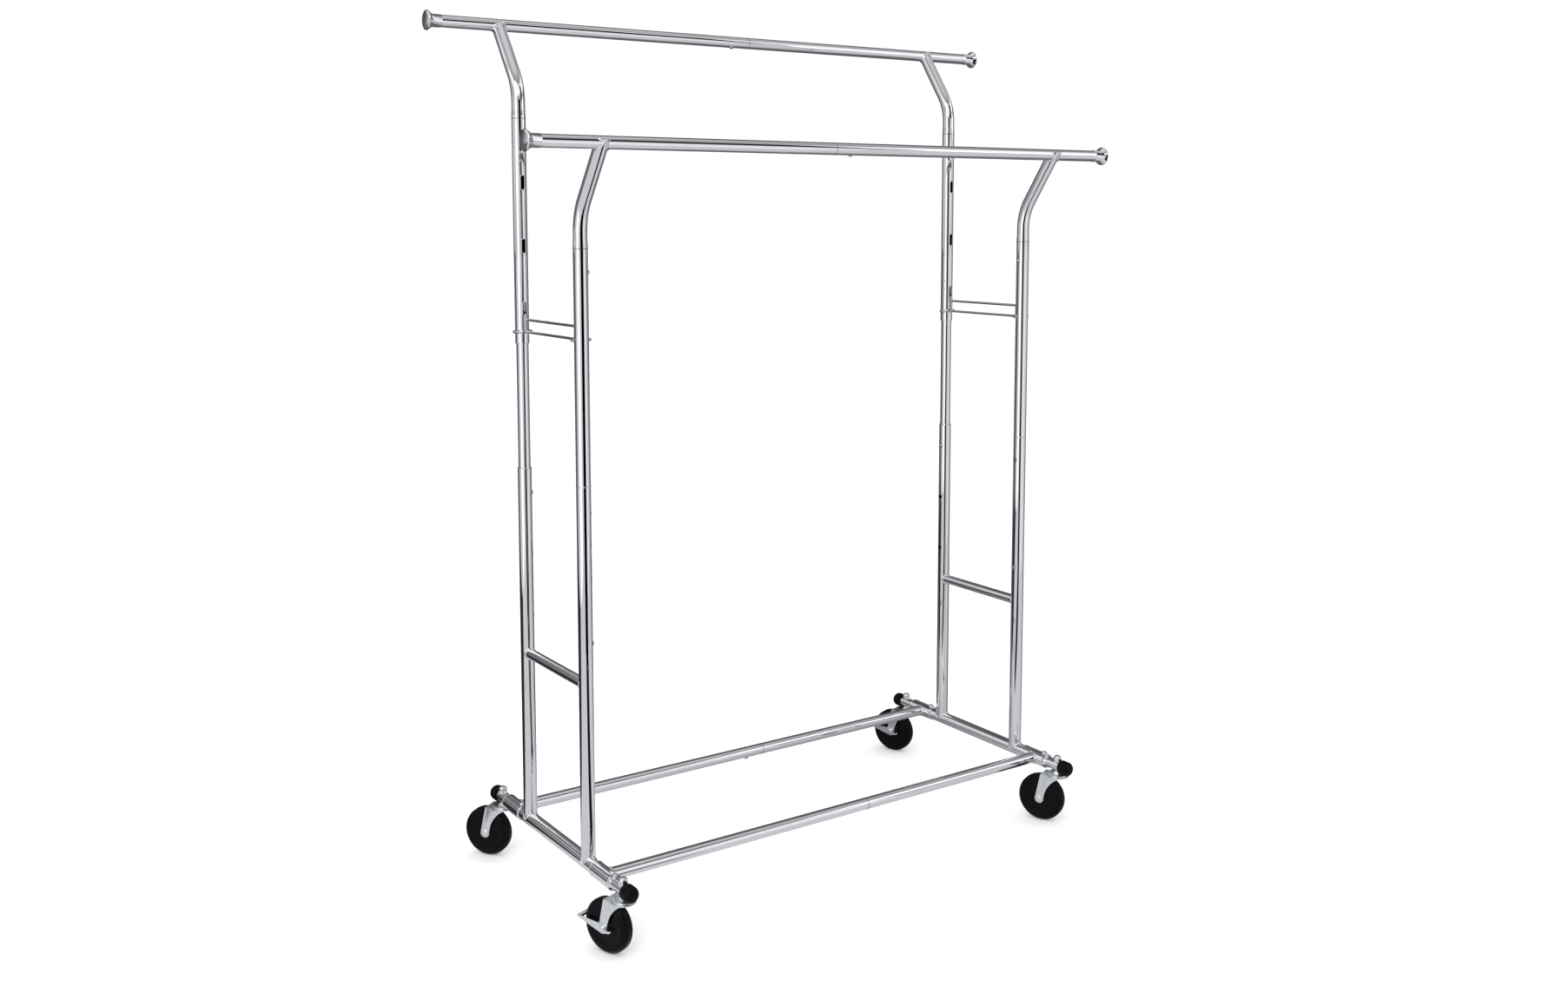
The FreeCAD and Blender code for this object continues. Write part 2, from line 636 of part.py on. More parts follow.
def fork():
    """Stamped fork with its lower race, swivel axis on Z, trailing along +X."""
    width = FORK_GAP + 2 * FORK_PLATE
    crown = Part.makeCylinder(CROWN_R, CROWN_THICK, Vector(0, 0, CROWN_Z))
    crown = crown.fuse(Part.makeBox(CROWN_REACH, width, CROWN_THICK, Vector(0, -width / 2, CROWN_Z)))
    race_z = CROWN_Z + CROWN_THICK
    race = [
        (RACE_BORE_R, race_z - RACE_ROOT),
        (RACE_R, race_z - RACE_ROOT),
        (RACE_R, race_z + RACE_THICK - RACE_EDGE),
        (RACE_R - RACE_EDGE, race_z + RACE_THICK),
        (RACE_BORE_R, race_z + RACE_THICK),
    ]
    shape = crown.fuse([fork_arm(-1), fork_arm(1), lathe(race, Vector(0, 0, 0), Z_AXIS)])
    middle, reach = Vector(0, 0, CROWN_Z), Z_AXIS * CROWN_R
    shape = shape.cut(rod(STEM_R + STEM_FIT, middle - reach, middle + reach))
    holes = rod(AXLE_R, Vector(TRAIL, -width, WHEEL_R), Vector(TRAIL, width, WHEEL_R))
    return shape.cut(holes).removeSplitter()


def axle(braked):
    """Riveted axle, longer where a brake lever shares it."""
    lever = LEVER_GAP + LEVER_PLATE + LEVER_GAP if braked else 0.0
    half = FORK_GAP / 2 + FORK_PLATE + lever
    dome = rounding((0, half + AXLE_RIM), AXLE_HEAD_R, AXLE_HEAD - AXLE_RIM)
    head = [(AXLE_R, half), (AXLE_HEAD_R, half)] + dome
    profile = [(r, -h) for r, h in reversed(head)] + head
    return lathe(profile, Vector(TRAIL, 0, WHEEL_R), Y_AXIS)


def brake_arm(low_y):
    """One leaf of the brake lever: an eye on the axle, a tapering blade and a small hook."""
    eye = Part.makeCylinder(LEVER_EYE_R, LEVER_PLATE, Vector(0, low_y, 0), Y_AXIS)
    blade = [
        Vector(0, low_y, LEVER_EYE_R),
        Vector(LEVER_REACH, low_y, LEVER_TIP_HALF),
        Vector(LEVER_REACH, low_y, -LEVER_TIP_HALF),
        Vector(0, low_y, -LEVER_EYE_R),
    ]
    end, tip = -LEVER_HOOK_REACH, -LEVER_HOOK_REACH + LEVER_HOOK_WIDTH
    hook = [
        Vector(0, low_y, -LEVER_EYE_R),
        Vector(tip, low_y, -LEVER_HOOK_WIDTH),
        Vector(end, low_y, 0),
        Vector(end, low_y, LEVER_HOOK_WIDTH),
        Vector(tip, low_y, LEVER_HOOK_WIDTH / 2),
        Vector(tip + LEVER_HOOK_WIDTH, low_y, 0),
        Vector(-LEVER_EYE_R, low_y, 0),
    ]
    leaves = [Part.Face(Part.makePolygon(part + part[:1])) for part in (blade, hook)]
    return eye.fuse([leaf.extrude(Y_AXIS * LEVER_PLATE) for leaf in leaves])


def brake_lever():
    """Stamped lever that rocks on the axle, with a tread plate behind the wheel."""
    inner = FORK_GAP / 2 + FORK_PLATE + LEVER_GAP
    arms = [brake_arm(low_y) for low_y in (inner, -inner - LEVER_PLATE)]
    width = 2 * (inner + LEVER_PLATE)
    shoe_x = WHEEL_R + SHOE_GAP
    tread_low = LEVER_TIP_HALF - LEVER_PLATE
    tread = Part.makeBox(LEVER_REACH - shoe_x, width, LEVER_PLATE, Vector(shoe_x, -width / 2, tread_low))
    shoe_low = Vector(shoe_x, -width / 2, LEVER_TIP_HALF - SHOE_DROP)
    shoe = Part.makeBox(LEVER_PLATE, width, SHOE_DROP, shoe_low)
    shape = arms[0].fuse([arms[1], tread, shoe])
    shape = shape.cut(rod(AXLE_R + AXLE_FIT, Vector(0, -width, 0), Vector(0, width, 0)))
    shape = shape.removeSplitter()
    shape.rotate(Vector(0, 0, 0), Y_AXIS, -LEVER_TILT)
    return moved(shape, x=TRAIL, z=WHEEL_R)


def caster_stem():
    """Bolt with the fixed upper race: the fork swivels on it."""
    race_low = CROWN_Z + CROWN_THICK + RACE_THICK + RACE_GAP
    race_top = race_low + TOP_RACE_THICK
    head_top = CROWN_Z - RACE_GAP
    stem_top = BASE_Z + STUB_R + ACORN_HEIGHT - STEM_SHORT
    profile = [
        (0, head_top - STEM_HEAD),
        (STEM_HEAD_R - STEM_EDGE, head_top - STEM_HEAD),
        (STEM_HEAD_R, head_top),
        (STEM_R, head_top),
        (STEM_R, race_low),
        (TOP_RACE_R - RACE_EDGE, race_low),
        (TOP_RACE_R, race_low + RACE_EDGE),
        (TOP_RACE_R - TOP_RACE_SLOPE, race_top),
        (STEM_R, race_top),
        (STEM_R, stem_top),
        (0, stem_top),
    ]
    return lathe(profile, Vector(0, 0, 0), Z_AXIS), race_top, stem_top


def caster_nuts(race_top, stem_top):
    """Lock nut under the end tube, and domed nut on top of it."""
    low = BASE_Z - STUB_R
    lock = hexagon(NUT_ACROSS, low - race_top, Vector(0, 0, race_top))
    lock = lock.cut(Part.makeCylinder(STEM_R, low, Vector(0, 0, race_top)))
    seat, hex_height = BASE_Z, STUB_R + ACORN_HEIGHT / 2
    body = hexagon(NUT_ACROSS, hex_height, Vector(0, 0, seat))
    dome_base = Vector(0, 0, seat + hex_height)
    dome = lathe([(0, 0)] + rounding((0, 0), NUT_ACROSS / 2, ACORN_HEIGHT / 2), dome_base, Z_AXIS)
    acorn = body.fuse(dome).cut(Part.makeCylinder(STEM_R, stem_top - seat, Vector(0, 0, seat)))
    centre, reach = Vector(0, 0, BASE_Z), Y_AXIS * (2 * NUT_ACROSS)
    around_tube = rod(STUB_R, centre - reach, centre + reach)
    return [lock.cut(around_tube), acorn.cut(around_tube)]


def build_casters():
    """Four swivel casters, two of them with a brake lever."""
    stems, nuts = [], []
    for corner, (side_x, side_y) in CORNERS.items():
        place = Vector(side_x * POST_X, side_y * CASTER_Y, 0)
        turn = FreeCAD.Placement(place, FreeCAD.Rotation(Z_AXIS, TRAIL_TURN[corner]))
        braked = corner in BRAKED
        pieces = {
            "caster_fork_" + corner: Part.makeCompound([fork(), axle(braked)]),
            "wheel_" + corner: moved(wheel(), x=TRAIL, z=WHEEL_R),
        }
        if braked:
            pieces["brake_lever_" + corner] = brake_lever()
        for name, shape in pieces.items():
            keep(name, placed(shape, turn))
        stem, race_top, stem_top = caster_stem()
        stems.append(moved(stem, place.x, place.y))
        nuts += [moved(nut, place.x, place.y) for nut in caster_nuts(race_top, stem_top)]
    keep("caster_stems", Part.makeCompound(stems))
    keep("caster_nuts", Part.makeCompound(nuts))


def placed(shape, placement):
    """A copy of the shape, turned and shifted by a placement."""
    copy = shape.copy()
    copy.Placement = placement.multiply(copy.Placement)
    return copy


# ---- Build and write ---------------------------------------------------------------
build_base()
for hanger in HANGERS:
    build_hanger(hanger)
for side, side_x in SIDES.items():
    keep("brace_" + side, moved(brace(), x=side_x * POST_X))
build_casters()

os.makedirs("parts", exist_ok=True)
for name, shape in nodes.items():
    bad = [s for s in shape.Solids if not s.isValid() or s.Volume <= 0]
    print(f"{name:32s} solids {len(shape.Solids)}  volume {shape.Volume:12.1f}  {'BAD' if bad else ''}")
    shape.exportStep(f"parts/{name}.step")
print(len(nodes), "nodes")
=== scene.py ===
# %% [markdown]
# # A chromed rolling clothes rack: the looks
#
# The rack is bright chrome tube on four black casters.  Its true shape and every moving
# body come from the imported frame, and this file adds what the frame leaves plain: weld
# beads, rolled tube ends, moulded wheels, softened pressings, painted shade inside the posts
# and in the joints, and the finishes.
# The frame is loaded first, because each new piece rides on one of its bodies.

# %% Load the frame
import json
import math

import bmesh
import bpy
from mathutils import Matrix, Vector


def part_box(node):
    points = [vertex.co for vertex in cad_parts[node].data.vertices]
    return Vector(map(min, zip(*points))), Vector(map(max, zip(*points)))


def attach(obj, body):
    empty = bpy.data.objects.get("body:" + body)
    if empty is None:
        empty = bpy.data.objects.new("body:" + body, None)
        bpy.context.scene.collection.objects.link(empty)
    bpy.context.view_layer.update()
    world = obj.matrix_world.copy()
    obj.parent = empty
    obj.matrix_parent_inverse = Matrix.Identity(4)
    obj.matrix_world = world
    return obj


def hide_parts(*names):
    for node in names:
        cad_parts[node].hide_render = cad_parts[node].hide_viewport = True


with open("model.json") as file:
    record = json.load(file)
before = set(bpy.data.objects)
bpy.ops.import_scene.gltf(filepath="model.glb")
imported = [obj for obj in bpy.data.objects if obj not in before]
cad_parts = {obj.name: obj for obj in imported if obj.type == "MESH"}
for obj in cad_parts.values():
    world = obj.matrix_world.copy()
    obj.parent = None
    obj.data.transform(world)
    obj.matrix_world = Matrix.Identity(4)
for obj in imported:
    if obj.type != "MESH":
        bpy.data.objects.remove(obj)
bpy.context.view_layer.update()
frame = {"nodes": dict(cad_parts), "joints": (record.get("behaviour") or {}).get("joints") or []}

nodes = frame["nodes"]

# %% [markdown]
# ## Real sizes
#
# A scene is easier to trust when its numbers are read from the object.  The tube radii and
# places come from the boxes of the frame's pieces, so a weld lands where two tubes meet.

# %% Units and sizes read from the frame
MM = 0.001
ENDS = ("left", "right")
ROWS = ("front", "rear")
CORNERS = tuple(f"{row}_{end}" for row in ROWS for end in ENDS)


def middle(node):
    """Middle of a frame piece's box."""
    low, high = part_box(node)
    return (Vector(low) + Vector(high)) / 2


def half_size(node, axis):
    """Half of a frame piece's length along X, Y or Z, given as 0, 1 or 2."""
    low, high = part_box(node)
    return (high[axis] - low[axis]) / 2


def inwards(value):
    """1 or -1: the way from a place on one side of the rack towards its middle."""
    return -math.copysign(1.0, value)


NECK_THINNER = 0.5 * MM
post_r = half_size("lower_post_front_left", 0)
rail_r = half_size("hanging_rail_front_left", 1)
bottom_rail_r = half_size("bottom_rail_front_left", 1)
sleeve_r = half_size("rail_sleeves", 2)
crossbar_r = half_size("crossbar_left", 0)
neck_r = post_r - NECK_THINNER
base_z = middle("bottom_rail_front_left").z
post_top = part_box("lower_post_front_left")[1][2]
print(f"post radius {post_r / MM:.1f} mm, rail radius {rail_r / MM:.1f} mm")

# %% [markdown]
# ## Finishes
#
# Every finish starts from what the real one is and how its surface was made.  Colours are
# written as sRGB hex values and turned into the linear values that the shader needs.
# One helper adds any kind of node, here and in the geometry trees.  A second one lets a wide
# noise change the colour and the sharpness together, as wear and plating do, and lets a
# finer noise lift the surface.


# %% Helpers for materials
def linear(hex_colour):
    """An sRGB hex colour as linear red, green, blue and alpha."""
    parts = [int(hex_colour[i:i + 2], 16) / 255 for i in (1, 3, 5)]
    return [p / 12.92 if p <= 0.04045 else ((p + 0.055) / 1.055) ** 2.4 for p in parts] + [1.0]


def add_node(tree, kind, settings=None, links=None):
    """Adds a node.  Settings are attributes or input values; links join inputs to sockets."""
    node = tree.nodes.new(kind)
    for name, value in (settings or {}).items():
        if isinstance(name, str) and hasattr(node, name):
            setattr(node, name, value)
        else:
            node.inputs[name].default_value = value
    for name, socket in (links or {}).items():
        tree.links.new(socket, node.inputs[name])
    return node


def new_finish(name):
    """An empty material: its tree, its shader and the object's own coordinates."""
    finish = bpy.data.materials.new(name)
    finish.use_nodes = True
    tree = finish.node_tree
    shader = tree.nodes["Principled BSDF"]
    place = add_node(tree, "ShaderNodeTexCoord").outputs["Object"]
    return finish, tree, shader, place


def per_mm(size):
    """Noise scale for a pattern of this size in millimetres."""
    return 1.0 / (size * MM)


def noise(tree, place, size_mm, detail):
    """A noise with a pattern of this size in millimetres."""
    settings = {"Scale": per_mm(size_mm), "Detail": detail}
    return add_node(tree, "ShaderNodeTexNoise", settings, {"Vector": place}).outputs["Fac"]


# The mix node's colours share their names with other sockets, so they go by number.
MIX_FIRST, MIX_SECOND, MIX_RESULT = 6, 7, 2


def vary(tree, shader, wide, fine, colours, roughness, bump_strength, bump_mm=0.05):
    """A wide noise changes colour and roughness; a fine one lifts the surface."""
    ends = {MIX_FIRST: linear(colours[0]), MIX_SECOND: linear(colours[1])}
    tone = add_node(tree, "ShaderNodeMix", {"data_type": "RGBA", **ends}, {0: wide})
    sharpness = add_node(tree, "ShaderNodeMapRange",
                         {"To Min": roughness[0], "To Max": roughness[1]}, {"Value": wide})
    bump = add_node(tree, "ShaderNodeBump",
                    {"Strength": bump_strength, "Distance": bump_mm * MM}, {"Height": fine})
    tree.links.new(tone.outputs[MIX_RESULT], shader.inputs["Base Color"])
    tree.links.new(sharpness.outputs["Result"], shader.inputs["Roughness"])
    tree.links.new(bump.outputs["Normal"], shader.inputs["Normal"])


# %% [markdown]
# ### Bright chrome plate
#
# The tubes are polished steel with nickel and a thin bright chrome over it.  Chrome gives
# back most of the light, slightly blue, and almost as sharply as a mirror.  The eye reads
# it from what it reflects, so the noise here is faint: buffing leaves a slow change of
# sharpness along the tube, and the steel under the plate is never perfectly round.


# %% Bright chrome plate on tube
def chrome_plate():
    finish, tree, shader, place = new_finish("bright_chrome_on_steel_tube")
    shader.inputs["Metallic"].default_value = 1.0
    buffing = noise(tree, place, 60, 3.0)
    ripple = noise(tree, place, 9, 1.0)
    vary(tree, shader, buffing, ripple, ("#E2E4E8", "#ECEDEF"), (0.012, 0.04), 0.07)
    return finish


chrome = chrome_plate()
print("finish:", chrome.name)

# %% [markdown]
# ### Plated wire and buttons
#
# The wire braces and snap buttons are small barrel-plated parts.  Tumbling against each
# other dulls them a little, so they are the same metal with a softer, finer surface.


# %% Barrel-plated nickel
def nickel_wire():
    finish, tree, shader, place = new_finish("barrel_plated_nickel_wire")
    shader.inputs["Metallic"].default_value = 1.0
    tumble = noise(tree, place, 4, 4.0)
    vary(tree, shader, tumble, tumble, ("#B5B7BA", "#CCCDD0"), (0.10, 0.22), 0.2)
    return finish


nickel = nickel_wire()
print("finish:", nickel.name)

# %% [markdown]
# ### Bright zinc on pressings
#
# The caster forks, levers and fasteners are pressed or turned steel with clear zinc
# plating: a pale grey metal, satin, with a fine grain and soft cloudy patches.  Turned nuts
# and screws come out of the bath brighter than the stampings, so they get less roughness.


# %% Clear zinc plate
def zinc_plate(name, roughness):
    finish, tree, shader, place = new_finish(name)
    shader.inputs["Metallic"].default_value = 1.0
    cloud = noise(tree, place, 14, 3.0)
    grain = noise(tree, place, 0.9, 2.0)
    vary(tree, shader, cloud, grain, ("#E0E4E7", "#EEF0F1"), roughness, 0.25)
    return finish


zinc = zinc_plate("clear_zinc_on_pressed_steel", (0.24, 0.40))
bright_nut = zinc_plate("bright_zinc_on_turned_fasteners", (0.12, 0.22))
print("finishes:", zinc.name, bright_nut.name)

# %% [markdown]
# ### Raw steel, darkened as painted shade
#
# Plating hardly reaches the inside of a tube, and a cut edge between two tubes is in its
# own shadow.  Both get a grey far darker than bare steel, which is painted shade for the
# shade inside a post and in a joint, mottled with old oil.


# %% Steel darkened as painted shade
def steel_with_painted_shade():
    finish, tree, shader, place = new_finish("steel_darkened_as_painted_shade")
    shader.inputs["Metallic"].default_value = 1.0
    mottle = noise(tree, place, 7, 4.0)
    # The dark grey, far below bare steel, is painted shade for the inside of posts and joints.
    vary(tree, shader, mottle, mottle, ("#1C1C1E", "#343436"), (0.45, 0.65), 0.3)
    return finish


painted_shade_steel = steel_with_painted_shade()
print("finish:", painted_shade_steel.name)

# %% [markdown]
# ### Black rubber and hard wheel plastic
#
# The end caps are moulded rubber with a fine matt mould grain.  The wheels are a harder,
# smoother black that shows a soft highlight along each rounded edge.


# %% Blacks
def moulded_black(name, colours, roughness, grain_mm, depth_mm):
    finish, tree, shader, place = new_finish(name)
    shader.inputs["Specular IOR Level"].default_value = 0.09
    bloom = noise(tree, place, 22, 4.0)
    grain = noise(tree, place, grain_mm, 2.0)
    vary(tree, shader, bloom, grain, colours, roughness, 0.4, depth_mm)
    return finish


cap_rubber = moulded_black("moulded_black_rubber", ("#070708", "#0E0E0F"), (0.42, 0.55), 1.2, 0.06)
wheel_black = moulded_black("hard_black_wheel_moulding", ("#060607", "#0C0C0D"), (0.26, 0.38),
                            2.0, 0.03)
print("finishes:", cap_rubber.name, wheel_black.name)

# %% [markdown]
# ## Finishes on the frame's own pieces
#
# Tubes, wires and buttons keep the frame's exact shape, and only change their finish.  Each
# one is found by the start of its name, so a new tube is chromed without another line.


# %% Give each frame piece its finish
FINISH_BY_START = {
    "end_caps": cap_rubber,
    "wheel_": wheel_black,
    "caster_": zinc,
    "brake_": zinc,
    "sleeve_screws": zinc,
    "brace_": nickel,
    "height_button": nickel,
    "neck_button": nickel,
    "rail_button": nickel,
    "bottom_button": nickel,
}


def finish_for(name):
    """The finish of a frame piece, by the start of its name; all other pieces are tube."""
    for start, finish in FINISH_BY_START.items():
        if name.startswith(start):
            return finish
    return chrome


for name, piece in nodes.items():
    piece.data.materials.clear()
    piece.data.materials.append(finish_for(name))
print("finishes given to", len(nodes), "frame pieces")

# %% [markdown]
# ## Guide lines for seams
#
# The posts, crossbars, sleeves and necks are joined by small fillet welds, plated over with
# the tube.  A bead could be modelled by hand as a bent pipe.  But each of the sixteen seams
# runs exactly where two tubes meet, so the tube sizes give a closed line of points for each
# one, and a Geometry Nodes tree then sweeps metal along all of them.


# %% Closed lines of points
LINE_STEPS, HOLE_STEPS = 56, 28


def round_angles(count=LINE_STEPS):
    """Equal steps round a full turn."""
    return [2 * math.pi * n / count for n in range(count)]


def line_mesh(name, loops):
    """A mesh that holds closed lines and no faces."""
    points, edges = [], []
    for loop in loops:
        first, count = len(points), len(loop)
        points += [tuple(p) for p in loop]
        edges += [(first + n, first + (n + 1) % count) for n in range(count)]
    mesh = bpy.data.meshes.new(name)
    mesh.from_pydata(points, edges, [])
    return mesh


def drop(radius, offset):
    """How far a round tube's surface stands from its axis plane at a sideways offset."""
    return math.sqrt(max(radius * radius - offset * offset, 0.0))


def foot_seam(post):
    """Where an upright post stands on the end tube under it."""
    at = middle(post)
    return [(at.x + post_r * math.cos(a), at.y + post_r * math.sin(a),
             base_z + post_r * abs(math.sin(a))) for a in round_angles()]


def crossbar_seam(post, bar):
    """Where a crossbar meets the inner side of a post."""
    at, bar_z = middle(post), middle(bar).z
    seam = []
    for a in round_angles():
        offset = crossbar_r * math.cos(a)
        seam.append((at.x + offset, at.y + inwards(at.y) * drop(post_r, offset),
                     bar_z + crossbar_r * math.sin(a)))
    return seam


def sleeve_seam(rail, end_tube):
    """Where a bottom rail meets its sleeve."""
    at, tube_x = middle(rail), middle(end_tube).x
    seam = []
    for a in round_angles():
        offset = bottom_rail_r * math.sin(a)
        seam.append((tube_x + inwards(tube_x) * drop(sleeve_r, offset),
                     at.y + bottom_rail_r * math.cos(a), base_z + offset))
    return seam


base_seams = [foot_seam("lower_post_" + corner) for corner in CORNERS]
for row in ROWS:
    base_seams += [crossbar_seam(f"lower_post_{row}_{end}", "crossbar_" + end) for end in ENDS]
for row in ROWS:
    base_seams += [sleeve_seam(f"bottom_rail_{row}_{end}", "end_tube_" + end) for end in ENDS]
print("seams on the base:", len(base_seams))


# %% Seams between the necks and the hanging rails
NECK_WRAP = 12.0 * MM
NECK_LEAN = math.radians(35.2)


def neck_seam(row, end):
    """Round the saddle-cut head of a neck, which reaches up the outer side of the rail."""
    rail = middle(f"hanging_rail_{row}_{end}")
    post = middle(f"upper_post_{row}_{end}")
    side = -inwards(rail.y)
    along = Vector((0.0, side * math.sin(NECK_LEAN), math.cos(NECK_LEAN)))
    across = Vector((0.0, side * math.cos(NECK_LEAN), -math.sin(NECK_LEAN)))
    seam = []
    for a in round_angles():
        offset = neck_r * math.sin(a)
        beyond = max(0.0, (abs(offset) - rail_r) / (neck_r - rail_r))
        climb = NECK_WRAP * beyond if offset > 0 else 0.0
        middle_line = Vector((post.x + neck_r * math.cos(a), rail.y, rail.z))
        seam.append(middle_line + across * offset + along * (-drop(rail_r, offset) + climb))
    return seam


neck_seams = {row: [neck_seam(row, end) for end in ENDS] for row in ROWS}
print("seams on each hanging rail:", len(neck_seams["front"]))

# %% [markdown]
# ## A tree that sweeps a bead
#
# The tree turns the guide lines into curves, spaces their points evenly, sweeps a small
# circle along them and moves the surface in and out by a noise, which gives the row of
# frozen ripples of a weld.  With no ripple and a thin circle, the same tree draws the
# smooth lips of tube ends and pressed slots.


# %% The bead tree
BEAD_SIDES = 10


def bead_tree():
    tree = bpy.data.node_groups.new("swept_bead", "GeometryNodeTree")
    sockets = tree.interface
    sockets.new_socket("Lines", in_out="INPUT", socket_type="NodeSocketGeometry")
    for label in ("Bead radius", "Point spacing", "Ripple height", "Ripple scale"):
        sockets.new_socket(label, in_out="INPUT", socket_type="NodeSocketFloat")
    sockets.new_socket("Finish", in_out="INPUT", socket_type="NodeSocketMaterial")
    sockets.new_socket("Bead", in_out="OUTPUT", socket_type="NodeSocketGeometry")
    given = add_node(tree, "NodeGroupInput").outputs
    curve = add_node(tree, "GeometryNodeMeshToCurve", links={0: given["Lines"]})
    even = add_node(tree, "GeometryNodeResampleCurve", {"mode": "LENGTH"},
                    {"Curve": curve.outputs[0], "Length": given["Point spacing"]})
    ring = add_node(tree, "GeometryNodeCurvePrimitiveCircle", {"Resolution": BEAD_SIDES},
                    {"Radius": given["Bead radius"]})
    swept = add_node(tree, "GeometryNodeCurveToMesh",
                     links={"Curve": even.outputs[0], "Profile Curve": ring.outputs[0]})
    ripple = add_node(tree, "ShaderNodeTexNoise", {"Detail": 1.0}, {"Scale": given["Ripple scale"]})
    swell = add_node(tree, "ShaderNodeMath", {"operation": "SUBTRACT", 1: 0.5},
                     {0: ripple.outputs["Fac"]})
    height = add_node(tree, "ShaderNodeMath", {"operation": "MULTIPLY"},
                      {0: swell.outputs[0], 1: given["Ripple height"]})
    outwards = add_node(tree, "GeometryNodeInputNormal")
    shift = add_node(tree, "ShaderNodeVectorMath", {"operation": "SCALE"},
                     {0: outwards.outputs[0], "Scale": height.outputs[0]})
    rippled = add_node(tree, "GeometryNodeSetPosition",
                       links={"Geometry": swept.outputs[0], "Offset": shift.outputs[0]})
    smooth = add_node(tree, "GeometryNodeSetShadeSmooth", links={0: rippled.outputs[0]})
    real = add_node(tree, "GeometryNodeRealizeInstances", links={0: smooth.outputs[0]})
    done = add_node(tree, "GeometryNodeSetMaterial",
                    links={"Geometry": real.outputs[0], "Material": given["Finish"]})
    add_node(tree, "NodeGroupOutput", links={0: done.outputs[0]})
    return tree


def grown(name, guide_mesh, tree, values, body):
    """Runs a tree on guide lines, and keeps the result as one plain piece of a body."""
    guide = bpy.data.objects.new(name + "_guide", guide_mesh)
    bpy.context.collection.objects.link(guide)
    growth = guide.modifiers.new("growth", "NODES")
    growth.node_group = tree
    for socket in tree.interface.items_tree:
        if socket.in_out == "INPUT" and socket.name in values:
            growth[socket.identifier] = values[socket.name]
    ready = guide.evaluated_get(bpy.context.evaluated_depsgraph_get())
    piece = bpy.data.objects.new(name, bpy.data.meshes.new_from_object(ready))
    bpy.context.collection.objects.link(piece)
    bpy.data.objects.remove(guide)
    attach(piece, body)
    return piece


swept_bead = bead_tree()
print("tree:", swept_bead.name, len(swept_bead.nodes), "nodes")


# %% Weld beads, one piece for each body
def grown_on_bodies(start, base_lines, hanger_lines, values):
    """Sweeps one piece along the base's lines, and one along those of each hanger."""
    base_guide = line_mesh("base_" + start, base_lines)
    pieces = [grown(start + "_base", base_guide, swept_bead, values, "base")]
    for row in ROWS:
        guide = line_mesh(f"{row}_{start}", hanger_lines[row])
        pieces.append(grown(f"{start}_{row}", guide, swept_bead, values, row + "_hanger"))
    return pieces


WELD = {"Bead radius": 2.0 * MM, "Point spacing": 1.0 * MM, "Ripple height": 1.6 * MM,
        "Ripple scale": per_mm(3.2), "Finish": chrome}
welds = grown_on_bodies("welds", base_seams, neck_seams, WELD)
print("welds:", [len(piece.data.polygons) for piece in welds])

# %% [markdown]
# ## Lips of tube ends and slots, painted shade lines of joints and holes
#
# Where a tube is cut or punched, its edge is rolled or burred a little and catches a thin
# bright line.  Where one tube enters another, and round a button hole, the eye sees a thin
# dark line instead, because the cut steel stands in its own shadow.  Bevelling the real mesh
# would mean changing the frame's pieces, so a fine ring is swept along each edge: chrome for
# a lip, and for a joint or a hole a dark ring of painted shade.


# %% Lip lines
SLOT_PITCH, SLOT_HALF_WIDTH, SLOT_HALF_HEIGHT = 113.0 * MM, 4.0 * MM, 13.0 * MM
FIRST_HOLE_DROP, HOLE_PITCH, HOLE_R = 47.0 * MM, 113.5 * MM, 4.3 * MM
# How deep a ring's middle lies under the tube's skin, and how far it stands from the cut.
LIP_DEPTH, JOINT_DEPTH = 0.1 * MM, 0.2 * MM
MOUTH_DROP, SKIRT_RISE = 0.4 * MM, 0.5 * MM


def ring_line(centre, axis, radius):
    """A circle about an axis given as 0, 1 or 2."""
    side, other = [n for n in range(3) if n != axis]
    line = []
    for a in round_angles():
        place = Vector(centre)
        place[side] += radius * math.cos(a)
        place[other] += radius * math.sin(a)
        line.append(place)
    return line


def slot_line(post, z):
    """A round-ended slot's edge on an upper post's side that faces the other hanger."""
    line = []
    for a in round_angles():
        straight = math.copysign(SLOT_HALF_HEIGHT - SLOT_HALF_WIDTH, math.sin(a))
        offset = SLOT_HALF_WIDTH * math.cos(a)
        line.append((post.x + offset, post.y + inwards(post.y) * drop(post_r, offset),
                     z + straight + SLOT_HALF_WIDTH * math.sin(a)))
    return line


def hole_line(post, z):
    """A round hole's edge on a lower post's side that faces the other end frame."""
    line = []
    for a in round_angles(HOLE_STEPS):
        offset = HOLE_R * math.cos(a)
        line.append((post.x + inwards(post.x) * drop(post_r, offset), post.y + offset,
                     z + HOLE_R * math.sin(a)))
    return line


base_lips, hanger_lips = [], {row: [] for row in ROWS}
base_joints, hanger_joints = [], {row: [] for row in ROWS}
for row in ROWS:
    for end in ENDS:
        lower, upper = middle(f"lower_post_{row}_{end}"), middle(f"upper_post_{row}_{end}")
        mouth = (lower.x, lower.y, post_top - MOUTH_DROP)
        base_lips.append(ring_line(mouth, 2, post_r - LIP_DEPTH))
        for n in range(3):
            base_joints.append(hole_line(lower, post_top - FIRST_HOLE_DROP - n * HOLE_PITCH))
        upper_low, upper_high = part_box(f"upper_post_{row}_{end}")
        skirt = (upper.x, upper.y, upper_low[2] + SKIRT_RISE)
        hanger_lips[row].append(ring_line(skirt, 2, post_r - LIP_DEPTH))
        neck_joint = (upper.x, upper.y, upper_high[2])
        hanger_joints[row].append(ring_line(neck_joint, 2, post_r - JOINT_DEPTH))
        for n in range(1, 4):
            hanger_lips[row].append(slot_line(upper, upper_high[2] - n * SLOT_PITCH))
print("lips:", len(base_lips), [len(lines) for lines in hanger_lips.values()])

